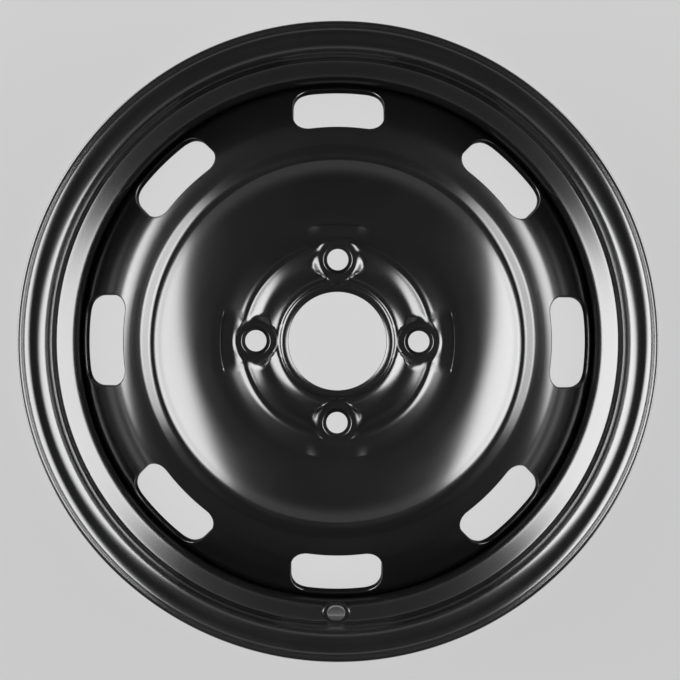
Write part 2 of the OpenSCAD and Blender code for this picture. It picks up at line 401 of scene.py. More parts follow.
    def bridge_in(self, loop: list[Vector], points: list[tuple[float, float]], cuts: int) -> list[Vector]:
        """Adds a ring of points inside a loop and bridges the two.

        Args:
            loop: Places of the outer loop, in order.
            points: Length and azimuth of each new point, one for each place of the loop.
            cuts: Number of loops between the two.

        Returns:
            Places of the new ring, in order.
        """
        bpy.ops.mesh.select_all(action="DESELECT")
        bpy.ops.mesh.primitive_circle_add(vertices=len(points), radius=1.0)
        bm = bmesh.from_edit_mesh(self.obj.data)
        ring = self.walk({edge for edge in bm.edges if edge.select})
        placed = []
        for vert, (length, azimuth) in zip(ring, points):
            flat = self.base + length
            vert.co = (flat * math.cos(azimuth), flat * math.sin(azimuth), self.bridge_depth)
            placed.append(Vector((vert.co.x, vert.co.y, 0.0)))
        outer = {(round(p.x, 2), round(p.y, 2)) for p in loop}
        for edge in bm.edges:
            ends = [(round(v.co.x, 2), round(v.co.y, 2)) in outer for v in edge.verts]
            if len(edge.link_faces) == 1 and all(ends):
                edge.select_set(True)
        bmesh.update_edit_mesh(self.obj.data)
        bpy.ops.mesh.bridge_edge_loops(type="SINGLE", number_cuts=cuts, interpolation="LINEAR")
        bpy.ops.mesh.select_all(action="SELECT")
        bpy.ops.transform.resize(value=(1.0, 1.0, 0.0), center_override=(0.0, 0.0, 0.0))
        bpy.ops.mesh.select_all(action="DESELECT")
        return placed

    def give_thickness(self) -> None:
        """Extrudes the whole flat ring, so that it has a front and a back layer."""
        bpy.ops.mesh.select_mode(type="FACE")
        bpy.ops.mesh.select_all(action="SELECT")
        bpy.ops.mesh.extrude_region_move(TRANSFORM_OT_translate={"value": (0.0, 0.0, 1.0)})
        bpy.ops.mesh.select_all(action="DESELECT")

    def mark_edges(self) -> None:
        """Keeps which vertices lie on a cut edge of the sheet, in a vertex attribute."""
        bm = bmesh.from_edit_mesh(self.obj.data)
        mark = bm.verts.layers.int.get("cut_edge") or bm.verts.layers.int.new("cut_edge")
        for face in bm.faces:
            heights = [v.co.z > 0.5 for v in face.verts]
            if any(heights) and not all(heights):
                for vert in face.verts:
                    vert[mark] = 2 if vert.co.z > 0.5 else 1

    def press(self, shape: "PressTool") -> None:
        """Gives each layer its final form in metres and leaves edit mode.

        Args:
            shape: Tool that turns lengths and azimuths to places.
        """
        bpy.ops.object.mode_set(mode="OBJECT")
        mesh = self.obj.data
        flat = np.empty(len(mesh.vertices) * 3)
        mesh.vertices.foreach_get("co", flat)
        flat = flat.reshape(-1, 3)
        length = np.hypot(flat[:, 0], flat[:, 1]) - self.base
        azimuth = np.arctan2(flat[:, 1], flat[:, 0])
        front = flat[:, 2] > 0.5
        placed = np.where(front[:, None], shape.place(length, azimuth, Layer.FRONT),
                          shape.place(length, azimuth, Layer.BACK))
        mesh.vertices.foreach_set("co", (placed * MM).ravel())
        mesh.update()

    def round_edges(self, near: "EdgePick", size: float, segments: int) -> None:
        """Bevels cut edges of the pressed sheet.

        Args:
            near: Test of an edge's middle in metres and of its mark, 2 in front and 1 behind.
            size: Width of the bevel in millimetres.
            segments: Number of its segments.
        """
        bpy.ops.object.mode_set(mode="EDIT")
        bpy.ops.mesh.select_mode(type="EDGE")
        bpy.ops.mesh.select_all(action="DESELECT")
        bm = bmesh.from_edit_mesh(self.obj.data)
        mark = bm.verts.layers.int["cut_edge"]
        for edge in bm.edges:
            a, b = edge.verts
            if a[mark] and a[mark] == b[mark] and near(edge, a[mark]):
                edge.select_set(True)
        bmesh.update_edit_mesh(self.obj.data)
        bpy.ops.mesh.bevel(offset=size * MM, segments=segments, profile=0.5, affect="EDGES",
                           clamp_overlap=True)
        bpy.ops.object.mode_set(mode="OBJECT")

    def close_up(self, angle: float) -> bpy.types.Object:
        """Turns all faces outwards and shades the finished piece.

        Args:
            angle: Largest angle in degrees that is shaded smooth.

        Returns:
            The finished object.
        """
        bpy.ops.object.select_all(action="DESELECT")
        self.obj.select_set(True)
        bpy.context.view_layer.objects.active = self.obj
        bpy.ops.object.mode_set(mode="EDIT")
        bpy.ops.mesh.select_all(action="SELECT")
        bpy.ops.mesh.normals_make_consistent(inside=False)
        bpy.ops.object.mode_set(mode="OBJECT")
        bpy.ops.object.shade_smooth_by_angle(angle=math.radians(angle))
        return self.obj


class PressTool:
    """Turns lengths and azimuths of a flat sheet to places of the pressed one."""

    def __init__(self, blank: SheetBlank, thickness: float) -> None:
        """Keeps the sheet and its thickness in millimetres."""
        self.blank = blank
        self.thickness = thickness

    def place(self, length: np.ndarray, azimuth: np.ndarray, layer: Layer) -> np.ndarray:
        """Finds places of points in one layer.

        Args:
            length: Lengths along the section.
            azimuth: Angles round the axle, in radians.
            layer: Layer of the sheet.

        Returns:
            Places in millimetres, one row for each point.
        """
        radius, height, tilt = self.blank.at(length)
        depth = self.thickness if layer is Layer.BACK else 0.0
        radius = radius - depth * np.sin(tilt)
        height = height - depth * np.cos(tilt)
        return np.column_stack([radius * np.cos(azimuth), radius * np.sin(azimuth), height])


class EdgePick:
    """Test that picks cut edges by their layer and by their distance from the axle."""

    def __init__(self, layer: Layer | None, low: float, high: float) -> None:
        """Keeps the layer and the range of distances from the axle in millimetres."""
        self.mark = None if layer is None else (2 if layer is Layer.FRONT else 1)
        self.low = low * MM
        self.high = high * MM

    def __call__(self, edge: bmesh.types.BMEdge, mark: int) -> bool:
        """Tells whether a marked edge is picked."""
        middle = (edge.verts[0].co + edge.verts[1].co) / 2.0
        return self.mark in (None, mark) and self.low < math.hypot(middle.x, middle.y) < self.high


@dataclass(frozen=True)
class BlackDipPaint:
    """Black cathodic dip paint on pressed steel, baked.

    The eye sees a deep black film with a satin gloss, whose reflections have soft edges, and
    slightly duller patches where the bath has run off.
    """

    name: str = "black_dip_paint"
    film: str = "#0c0c0d"
    worn_film: str = "#121214"
    roughness: float = 0.22
    ior: float = 1.85
    coat_ior: float = 1.55
    patch_mm: float = 40.0
    peel_mm: float = 1.1
    peel_depth_mm: float = 0.004

    def build(self) -> bpy.types.Material:
        """Builds the material.

        Returns:
            The finished material.
        """
        material = bpy.data.materials.new(self.name)
        material.use_nodes = True
        tree = material.node_tree
        tree.nodes.clear()
        place = add_node(tree, "ShaderNodeTexCoord").outputs["Object"]
        peel = add_node(tree, "ShaderNodeTexNoise",
                        {"Scale": 1.0 / (self.peel_mm * MM), "Detail": 2.0, "Roughness": 0.45},
                        {"Vector": place})
        bump = add_node(tree, "ShaderNodeBump", {"Strength": 0.4, "Distance": self.peel_depth_mm * MM},
                        {"Height": peel.outputs["Fac"]})
        patch = add_node(tree, "ShaderNodeTexNoise", {"Scale": 1.0 / (self.patch_mm * MM), "Detail": 3.0},
                         {"Vector": place})
        dull = add_node(tree, "ShaderNodeMapRange",
                        {"From Min": 0.35, "From Max": 0.7, "To Min": self.roughness - 0.015,
                         "To Max": self.roughness + 0.02}, {"Value": patch.outputs["Fac"]})
        film = add_node(tree, "ShaderNodeMix", {"data_type": "RGBA"}, {"Factor": patch.outputs["Fac"]})
        film.inputs[6].default_value = linear_colour(self.film)
        film.inputs[7].default_value = linear_colour(self.worn_film)
        shader = add_node(tree, "ShaderNodeBsdfPrincipled",
                          {"Metallic": 0.0, "IOR": self.ior, "Coat Weight": 1.0,
                           "Coat Roughness": self.roughness, "Coat IOR": self.coat_ior},
                          {"Base Color": film.outputs[2], "Roughness": dull.outputs["Result"],
                           "Normal": bump.outputs["Normal"]})
        add_node(tree, "ShaderNodeOutputMaterial", None, {"Surface": shader.outputs["BSDF"]})
        return material


@dataclass(frozen=True)
class PaleFloorPaper:
    """Matt background paper, which glows so that it stays pale for the camera and in the paint's reflections, and
    keeps the shadow in its matt grey colour. Its glow is painted light: for the camera it is brighter inside the
    wheel's outline, a painted pool of light, and in the paint's reflections it is cut to a tenth under the wheel,
    painted shade. Distances are in metres.
    """

    name: str = "pale_floor_paper"
    colour: str = "#505050"
    # Glow for the camera inside the wheel and in reflections outside it; inside the wheel it is painted brighter
    # than outer_glow, a painted pool of light
    glow: float = 0.65
    outer_glow: float = 0.5
    wheel_r: float = 0.2

    def build(self) -> bpy.types.Material:
        """Builds the material.

        Returns:
            The finished material.
        """
        material = bpy.data.materials.new(self.name)
        material.use_nodes = True
        tree = material.node_tree
        tree.nodes.clear()
        path = add_node(tree, "ShaderNodeLightPath")
        place = add_node(tree, "ShaderNodeNewGeometry").outputs["Position"]
        flat = add_node(tree, "ShaderNodeVectorMath", {"operation": "MULTIPLY", 1: (1.0, 1.0, 0.0)}, {0: place})
        reach = add_node(tree, "ShaderNodeVectorMath", {"operation": "LENGTH"}, {0: flat.outputs[0]})
        fades = []
        # Painted light: the paper's own glow is brighter inside the wheel than outside, a painted pool of light, and
        # the glow that the paint mirrors is cut to a tenth under the wheel, painted shade, and full outside
        for start, inner, outer in ((0.75, self.glow, self.outer_glow), (1.1, 0.1 * self.glow, self.glow)):
            fade = add_node(tree, "ShaderNodeMapRange",
                            {"interpolation_type": "SMOOTHSTEP", "From Min": start * self.wheel_r,
                             "From Max": (start + 0.45) * self.wheel_r, "To Min": inner, "To Max": outer},
                            {"Value": reach.outputs["Value"]})
            fades.append(fade.outputs["Result"])
        mirrored = add_node(tree, "ShaderNodeMath", {"operation": "MAXIMUM"},
                            {0: path.outputs["Is Glossy Ray"], 1: path.outputs["Is Transmission Ray"]})
        # Painted shade: the glow that the paint mirrors is dimmed to a tenth under the wheel
        reflected_glow_painted_shade = add_node(tree, "ShaderNodeMath", {"operation": "MULTIPLY"},
                            {0: mirrored.outputs[0], 1: fades[1]})
        strength = add_node(tree, "ShaderNodeMath", {"operation": "MULTIPLY_ADD"},
                            {0: path.outputs["Is Camera Ray"], 1: fades[0], 2: reflected_glow_painted_shade.outputs[0]})
        paper = add_node(tree, "ShaderNodeBsdfDiffuse", {"Color": linear_colour(self.colour)})
        glow = add_node(tree, "ShaderNodeEmission", {"Color": (1, 1, 1, 1)},
                        {"Strength": strength.outputs[0]})
        both = add_node(tree, "ShaderNodeAddShader")
        tree.links.new(paper.outputs[0], both.inputs[0])
        tree.links.new(glow.outputs[0], both.inputs[1])
        add_node(tree, "ShaderNodeOutputMaterial", None, {"Surface": both.outputs[0]})
        return material


def dress(obj: bpy.types.Object, material: bpy.types.Material, node: str) -> None:
    """Gives a finished piece its paint, hangs it under the root body and hides the CAD node that it replaces.

    Args:
        obj: Finished piece.
        material: Its paint.
        node: CAD node that it replaces.
    """
    obj.data.materials.clear()
    obj.data.materials.append(material)
    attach(obj, "root")
    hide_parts(node)


@dataclass
class Disc:
    """Stamped disc. All sizes are in millimetres and degrees."""

    thickness: float = 3.8
    bore_r: float = 32.55
    bore_chamfer: float = 1.0
    lip_r: float = 35.8
    dish_r: float = 39.6
    ridge_r: float = 49.5
    groove_r: float = 63.3
    groove_z: float = 3.3
    pocket_r: float = 77.5
    pocket_half: float = 17.5
    pocket_rise: float = 1.1
    floor_r: float = 88.0
    crest_r: float = 122.0
    foot_r: float = 130.6
    straight_r: float = 152.0
    vent_slope: float = 37.0
    shoulder_r: float = 164.8
    skirt_r: float = 170.2
    skirt_len: float = 19.0
    bolt_circle_r: float = 54.0
    bolt_count: int = 4
    hole_r: float = 7.05
    seat_r: float = 9.45
    seat_round: float = 0.45
    pad_r: float = 12.2
    pad_sink: float = 3.8
    vent_count: int = 8
    vent_in: float = 141.3
    vent_out: float = 167.0
    vent_half: float = 30.1
    vent_corner: float = 11.6
    columns: int = 216
    blank: SheetBlank = field(init=False)

    def __post_init__(self) -> None:
        """Draws the section."""
        inner = SectionLine(self.bore_r, 0.0, -35.0)
        inner.bend_to(self.lip_r, 0.0).bend_to(self.lip_r + 2.1, 55.0).bend_to(self.dish_r, 0.0)
        inner.bend_to(self.dish_r + 2.3, -38.0).bend_to(self.ridge_r, 0.0)
        inner.bend_to(self.ridge_r + 2.5, 7.5).bend_to(self.ridge_r + 5.5, 26.5)
        inner.bend_to(self.groove_r - 2.6, 36.5).bend_to(self.groove_r - 1.2, 0.0)
        inner.raised(self.groove_z - inner.rows[-1][1])
        ring_w = self.straight_r - self.foot_r
        outer = SectionLine(self.groove_r, self.groove_z, 0.0)
        outer.bend_to(self.groove_r + 2.0, -38.0).bend_to(self.groove_r + 4.0, -16.5)
        outer.bend_to(self.groove_r + 8.0, -15.0).bend_to(self.pocket_r - 1.5, -7.0)
        outer.bend_to(self.pocket_r + 3.0, -1.3).bend_to(self.floor_r - 2.0, -10.5)
        outer.bend_to(self.floor_r + 2.0, -8.8).bend_to(self.floor_r + 10.8, -17.1)
        outer.bend_to(self.crest_r - 3.6, -43.8).bend_to(self.crest_r, 0.0)
        outer.bend_to(self.crest_r + 2.4, 31.0).run_to(radius=self.foot_r - 2.4).bend_to(self.foot_r, 5.0)
        outer.bend_to(self.foot_r + 0.2 * ring_w, 6.5).bend_to(self.foot_r + 0.72 * ring_w, 27.0)
        outer.bend_to(self.straight_r, self.vent_slope).run_to(radius=self.shoulder_r)
        outer.bend_to(self.skirt_r, 90.0)
        self.skirt_top = outer.rows[-1][1]
        self.skirt_edge = self.skirt_top - self.skirt_len
        outer.run_to(height=self.skirt_edge)
        self.blank = SheetBlank("disc_pressing", inner.followed_by(outer).table(), self.bore_r, self.columns)
        heights = self.blank.at(np.array([self.blank.length_at(self.ridge_r)]))[1]
        self.pad_z = float(heights[0]) - self.pad_sink
        self.pocket_z = self.pad_z + self.pocket_rise

    def bolt_points(self, loop: list[Vector], azimuth: float, radius: float) -> list[tuple[float, float]]:
        """Finds the points of a circle round a bolt that face the points of a loop.

        Args:
            loop: Places round the outer loop.
            azimuth: Angle of the bolt, in radians.
            radius: Radius of the circle, in millimetres.

        Returns:
            Length and azimuth of each point.
        """
        found = []
        for place in loop:
            length, turn = self.blank.local(place, azimuth)
            r = float(self.blank.at(np.array([length]))[0][0])
            dx, dy = r * math.cos(turn) - self.bolt_circle_r, r * math.sin(turn)
            size = math.hypot(dx, dy)
            x, y = self.bolt_circle_r + radius * dx / size, radius * dy / size
            found.append((self.blank.length_at(math.hypot(x, y)), azimuth + math.atan2(y, x)))
        return found

    def vent_points(self, loop: list[Vector], azimuth: float,
                    window: tuple[float, float, float]) -> list[tuple[float, float]]:
        """Finds the points of a vent's outline that face the points of its window.

        Args:
            loop: Places round the window.
            azimuth: Angle of the vent, in radians.
            window: Length at the inner and the outer edge, and half of the width in radians.

        Returns:
            Length and azimuth of each point.
        """
        s_in, s_out = self.blank.length_at(self.vent_in), self.blank.length_at(self.vent_out)
        middle, half = (s_in + s_out) / 2.0, (s_out - s_in) / 2.0
        corner = self.vent_corner
        found = []
        for place in loop:
            length, turn = self.blank.local(place, azimuth)
            reach = window[1] - middle if length > middle else middle - window[0]
            u, v = (length - middle) / reach * half, turn / window[2] * self.vent_half
            du, dv = abs(u) - (half - corner), abs(v) - (self.vent_half - corner)
            if du > 0.0 and dv > 0.0:
                size = math.hypot(du, dv)
                u = math.copysign(half - corner + corner * du / size, u)
                v = math.copysign(self.vent_half - corner + corner * dv / size, v)
            r = float(self.blank.at(np.array([middle + u]))[0][0])
            found.append((middle + u, azimuth + math.asin(v / r)))
        return found

    def pierce_bolt_hole(self, azimuth: float) -> None:
        """Works one bolt hole into the flat blank, with fine rings where its seat will be.

        Args:
            azimuth: Angle of the bolt, in radians.
        """
        blank = self.blank
        column = 2.0 * math.pi / self.columns
        blank.refine(blank.length_at(36.4), blank.length_at(83.0), azimuth, 11.0 * column, 2)
        window = (blank.length_at(37.4), blank.length_at(70.8), azimuth, 31.0 / 3.0 * column)
        loop = blank.cut_window(*window)
        rings = ((15.8, 2), (self.pad_r, 5), (self.seat_r + 1.1, 1), (self.seat_r - 1.1, 6), (self.hole_r, 2))
        for radius, cuts in rings:
            loop = blank.bridge_in(loop, self.bolt_points(loop, azimuth, radius), cuts)

    def build(self) -> bpy.types.Object:
        """Cuts the blank, presses it and rounds its edges.

        Returns:
            The finished disc.
        """
        blank = self.blank
        at = blank.length_at
        skirt_top = float(blank.line[-1, 0]) - self.skirt_len
        vents = (at(136.2), skirt_top + 1.5, math.radians(15.0))
        blank.lay_out(blank.spaced_rows([
            (at(self.bore_r + self.bore_chamfer), 9.0, 1.0), (at(36.4), 9.0, 1.0), (at(37.4), 20.0, 1.0),
            (at(70.8), 15.5, 1.6), (at(self.pocket_r - 1.6), 30.0, 1.6), (at(self.pocket_r + 0.9), 30.0, 0.37),
            (at(83.0), 30.0, 1.6), (vents[0], 8.5, 5.0), (vents[1], 8.5, 5.0),
            (float(blank.line[-1, 0]), 8.0, 6.0)]))
        for i in range(self.bolt_count):
            self.pierce_bolt_hole(2.0 * math.pi * i / self.bolt_count)
        for i in range(self.vent_count):
            azimuth = 2.0 * math.pi * i / self.vent_count
            loop = blank.cut_window(vents[0], vents[1], azimuth, vents[2])
            blank.bridge_in(loop, self.vent_points(loop, azimuth, vents), 6)
        blank.give_thickness()
        blank.mark_edges()
        blank.press(DiscTool(self))
        blank.round_edges(EdgePick(Layer.FRONT, 138.0, 169.0), 0.9, 3)
        blank.round_edges(EdgePick(Layer.BACK, 136.0, 166.0), 0.5, 2)
        blank.round_edges(EdgePick(None, 30.0, 33.2), 0.3, 2)
        return blank.close_up(40.0)


class DiscTool(PressTool):
    """Press tool of the disc, with its bolt pads, wrench pockets and faced hub ring."""

    def __init__(self, disc: Disc) -> None:
        """Keeps the disc and the height of its back by radius."""
        super().__init__(disc.blank, disc.thickness)
        self.disc = disc
        _, radius, height, tilt = disc.blank.line.T
        a = np.radians(tilt)
        back = np.column_stack([radius - disc.thickness * np.sin(a), height - disc.thickness * np.cos(a)])
        keep = (radius >= disc.dish_r) & (radius < disc.floor_r + 20.0)
        self.back_line = back[keep]
        self.back_line = self.back_line[np.argsort(self.back_line[:, 0])]
        self.hub_end = disc.blank.length_at(disc.floor_r - 3.0)

    def bolt_frame(self, x: np.ndarray, y: np.ndarray) -> tuple[np.ndarray, np.ndarray, np.ndarray]:
        """Turns plan points to the frame of their nearest bolt.

        Args:
            x: Plan places along X.
            y: Plan places along Y.

        Returns:
            Distance along the bolt's own radius, distance beside it, and distance from the bolt.
        """
        pitch = 2.0 * math.pi / self.disc.bolt_count
        r, a = np.hypot(x, y), np.arctan2(y, x)
        a = np.abs(a - pitch * np.round(a / pitch))
        u, v = r * np.cos(a), r * np.sin(a)
        return u, v, np.hypot(u - self.disc.bolt_circle_r, v)

    def pocket_share(self, u: np.ndarray, v: np.ndarray, low: float, high: float) -> np.ndarray:
        """Finds how much of the wrench pocket's depth a point gets.

        Args:
            u: Distances along the bolt's own radius.
            v: Distances beside it.
            low: Where the pocket's outer step starts, from its edge.
            high: Where the step ends.

        Returns:
            Shares from 0 to 1.
        """
        disc = self.disc
        inside = 1.0 - smooth_step(np.hypot(u, v), disc.pocket_r + low, disc.pocket_r + high)
        beside = 1.0 - smooth_step(v, disc.pocket_half - 7.0, disc.pocket_half + 4.5)
        return np.where(u > disc.groove_r, inside * beside, 0.0)

    def front_height(self, base: np.ndarray, x: np.ndarray, y: np.ndarray) -> np.ndarray:
        """Adds pockets, pads and seats to the plain front.

        Args:
            base: Heights of the plain section.
            x: Plan places along X.
            y: Plan places along Y.

        Returns:
            Heights of the front.
        """
        disc = self.disc
        u, v, reach = self.bolt_frame(x, y)
        share = self.pocket_share(u, v, -0.17, 0.18)
        height = base + (np.minimum(base, disc.pocket_z) - base) * share
        # The pad is a notch through the ridge, and outwards it ends at a tighter step to the pocket
        outward = smooth_step(u - disc.bolt_circle_r, 0.0, 10.0)
        hubward = smooth_step(disc.bolt_circle_r - u, 6.0, 10.5)
        foot = disc.pad_r - 0.2 + 1.0 * outward + 1.4 * hubward
        wall = smooth_step(reach, foot, foot + 6.6 - 4.3 * outward - 4.9 * hubward)
        height = disc.pad_z + (height - disc.pad_z) * wall
        cone = disc.pad_z - (disc.seat_r - reach) / math.tan(math.radians(30.0))
        soft = disc.seat_round
        gap = np.clip(0.5 + 0.5 * (height - cone) / soft, 0.0, 1.0)
        seat = height + (cone - height) * gap - soft * gap * (1.0 - gap)
        return np.where(reach < disc.seat_r + 1.5, seat, height)

    def back_height(self, x: np.ndarray, y: np.ndarray) -> np.ndarray:
        """Finds the heights of the back round the hub.

        Args:
            x: Plan places along X.
            y: Plan places along Y.

        Returns:
            Heights of the back.
        """
        disc = self.disc
        r = np.hypot(x, y)
        base = np.interp(r, self.back_line[:, 0], self.back_line[:, 1])
        base = np.maximum(base, 0.0)
        base = base + np.clip(disc.bore_r + disc.bore_chamfer - r, 0.0, None)
        u, v, reach = self.bolt_frame(x, y)
        floor = np.minimum(base, disc.pocket_z - disc.thickness)
        base = base + (floor - base) * self.pocket_share(u, v, 0.2, 3.0)
        level = disc.pad_z - disc.thickness
        base = base + (level - base) * (1.0 - smooth_step(reach, 12.9, 15.4))
        return base * np.where(reach < 14.0, smooth_step(reach, 9.4, 12.6), 1.0)

    def place(self, length: np.ndarray, azimuth: np.ndarray, layer: Layer) -> np.ndarray:
        """Finds places of points in one layer.

        Args:
            length: Lengths along the section.
            azimuth: Angles round the axle, in radians.
            layer: Layer of the sheet.

        Returns:
            Places in millimetres, one row for each point.
        """
        places = super().place(length, azimuth, layer)
        front = super().place(length, azimuth, Layer.FRONT)
        hub = length < self.hub_end
        x, y = front[:, 0], front[:, 1]
        if layer is Layer.FRONT:
            places[:, 2] = np.where(hub, self.front_height(places[:, 2], x, y), places[:, 2])
            return places
        share = smooth_step(length, self.hub_end - 6.0, self.hub_end)[:, None]
        level = np.column_stack([x, y, self.back_height(x, y)])
        return np.where(hub[:, None], level + (places - level) * share, places)


@dataclass
class Rim:
    """Roll-formed rim. All sizes are in millimetres and degrees."""

    thickness: float = 2.6
    seat_r: float = 190.1
    width: float = 152.4
    flange_h: float = 17.3
    curl_r: float = 9.5
    lip_turn: float = 20.0
    heel_r: float = 7.7
    taper: float = 5.0
    hump_at: float = 22.5
    hump_slope: float = 24.0
    hump_r: float = 8.0
    well_r: float = 172.8
    well_bend: float = 9.9
    wall_bend: float = 6.6
    wall_tilt: float = 33.0
    valve_tilt: float = 26.0
    inner_wall_tilt: float = 50.0
    well_at: float = 49.75
    well_lead: float = 7.55
    well_spare: float = 5.0
    skirt_top: float = -8.09
    skirt_edge: float = -27.09
    ledge_r: float = 188.5
    inner_ledge_r: float = 186.7
    valve_r: float = 179.4
    valve_hole_r: float = 5.65
    valve_flat_r: float = 7.9
    valve_edge_r: float = 9.7
    valve_rise: float = 0.5
    columns: int = 240
    blank: SheetBlank = field(init=False)

    def flange_line(self, face: float, ledge: float) -> SectionLine:
        """Draws one flange with its bead seat and hump.

        Args:
            face: Height of the flange face.
            ledge: Radius of the ledge between the hump and the well.

        Returns:
            The line from the lip to the ledge.
        """
        turn = math.radians(self.lip_turn)
        hump_half = self.hump_r * math.sin(math.radians(self.hump_slope))
        ease = self.hump_r * math.sin(math.radians(self.taper))
        line = SectionLine(self.seat_r + self.flange_h - self.curl_r * (1.0 - math.cos(turn)),
                           face + self.curl_r * (1.0 + math.sin(turn)), 90.0 - self.lip_turn)
        line.bend(self.curl_r, 180.0)
        line.run_to(radius=self.seat_r + self.heel_r)
        line.bend(self.heel_r, 90.0 + self.taper)
        line.run_to(height=face - self.hump_at + 2.0 * hump_half + ease)
        line.bend(self.hump_r, 90.0 - self.hump_slope).bend(self.hump_r, 90.0)
        return line.bend(0.75 * self.hump_r, 122.0).bend_to(ledge, 90.0)

    def __post_init__(self) -> None:
        """Draws the section on the tyre side, from the outboard to the inboard lip."""
        wall = 180.0 - self.wall_tilt
        a = math.radians(wall)
        well_top, well_end = self.skirt_top + self.well_lead, self.skirt_edge - self.well_spare
        face = well_top + self.well_at
        self.foot = (self.well_r + self.well_bend * (1.0 - math.sin(a)),
                     well_top - self.well_bend * math.cos(a))
        head_r = self.ledge_r - self.wall_bend * (1.0 - math.sin(a))
        head_z = self.foot[1] - (head_r - self.foot[0]) * math.tan(a) - self.wall_bend * math.cos(a)
        line = self.flange_line(face, self.ledge_r)
        line.run_to(height=head_z).bend(self.wall_bend, wall)
        line.run_to(radius=self.foot[0]).bend(self.well_bend, 90.0)
        line.run_to(height=well_end).bend(self.well_bend, 90.0 - self.inner_wall_tilt)
        b = math.radians(self.inner_wall_tilt)
        line.run_to(radius=self.inner_ledge_r - self.wall_bend * (1.0 - math.cos(b)))
        line.bend(self.wall_bend, 90.0)
        inboard = self.flange_line(self.width - face, self.inner_ledge_r).turned_over()
        table = line.followed_by(inboard).table()
        self.blank = SheetBlank("rim_ring", table, 200.0, self.columns)

    def build(self) -> bpy.types.Object:
        """Cuts the blank, rolls it and rounds its lips.

        Returns:
            The finished rim.
        """
        blank = self.blank
        tool = RimTool(self)
        low, high = tool.valve_s - 11.0, tool.valve_s + 11.0
        azimuth, half = -math.pi / 2.0, math.radians(4.5)
        blank.lay_out(blank.spaced_rows([(low, 8.0, 14.0), (high, 8.0, 2.4), (float(blank.line[-1, 0]), 8.0, 14.0)]))
        loop = blank.cut_window(low, high, azimuth, half)
        for radius, cuts in ((self.valve_edge_r, 2), (self.valve_flat_r, 5), (self.valve_hole_r, 2)):
            points = []
            for place in loop:
                length, turn = blank.local(place, azimuth)
                du, dv = length - tool.valve_s, turn * self.valve_r
                size = math.hypot(du, dv)
                points.append((tool.valve_s + radius * du / size, azimuth + radius * dv / size / self.valve_r))
            loop = blank.bridge_in(loop, points, cuts)
        blank.give_thickness()
        blank.mark_edges()
        blank.press(tool)
        blank.round_edges(EdgePick(None, 195.0, 210.0), 1.2, 4)
        blank.round_edges(EdgePick(None, 165.0, 190.0), 0.35, 2)
        return blank.close_up(40.0)


class RimTool(PressTool):
    """Rolls of the rim, with the flat seat that is pressed round the valve hole."""

    def __init__(self, rim: Rim) -> None:
        """Keeps the rim and finds the place and direction of its valve hole."""
        super().__init__(rim.blank, rim.thickness)
        self.rim = rim
        a = math.radians(rim.wall_tilt)
        air = (rim.foot[0] - rim.thickness * math.sin(a), rim.foot[1] + rim.thickness * math.cos(a))
        height = air[1] + (rim.valve_r - air[0]) * math.tan(a)
        a = math.radians(rim.valve_tilt)
        self.axis = np.array([0.0, math.sin(a), math.cos(a)])
        self.centre = np.array([0.0, -rim.valve_r, height])
        table = rim.blank.line
        back = np.column_stack([table[:, 1] - rim.thickness * np.sin(np.radians(table[:, 3])),
                                table[:, 2] - rim.thickness * np.cos(np.radians(table[:, 3]))])
        gap = np.hypot(back[:, 0] - rim.valve_r, back[:, 1] - height)
        self.valve_s = float(table[int(np.argmin(gap)), 0])

    def place(self, length: np.ndarray, azimuth: np.ndarray, layer: Layer) -> np.ndarray:
        """Finds places of points in one layer.

        Args:
            length: Lengths along the section.
            azimuth: Angles round the axle, in radians.
            layer: Layer of the sheet, of which the back is the air side.

        Returns:
            Places in millimetres, one row for each point.
        """
        places = super().place(length, azimuth, layer)
        air = super().place(length, azimuth, Layer.BACK)
        rel = air - self.centre
        along = rel @ self.axis
        across = np.linalg.norm(rel - along[:, None] * self.axis, axis=1)
        near = np.linalg.norm(rel, axis=1) < 20.0
        share = np.where(near, 1.0 - smooth_step(across, self.rim.valve_flat_r, self.rim.valve_edge_r), 0.0)
        level = self.rim.valve_rise
        if layer is Layer.FRONT:
            level = self.rim.valve_rise - self.thickness
        depth = (places - self.centre) @ self.axis
        return places + ((level - depth) * share)[:, None] * self.axis


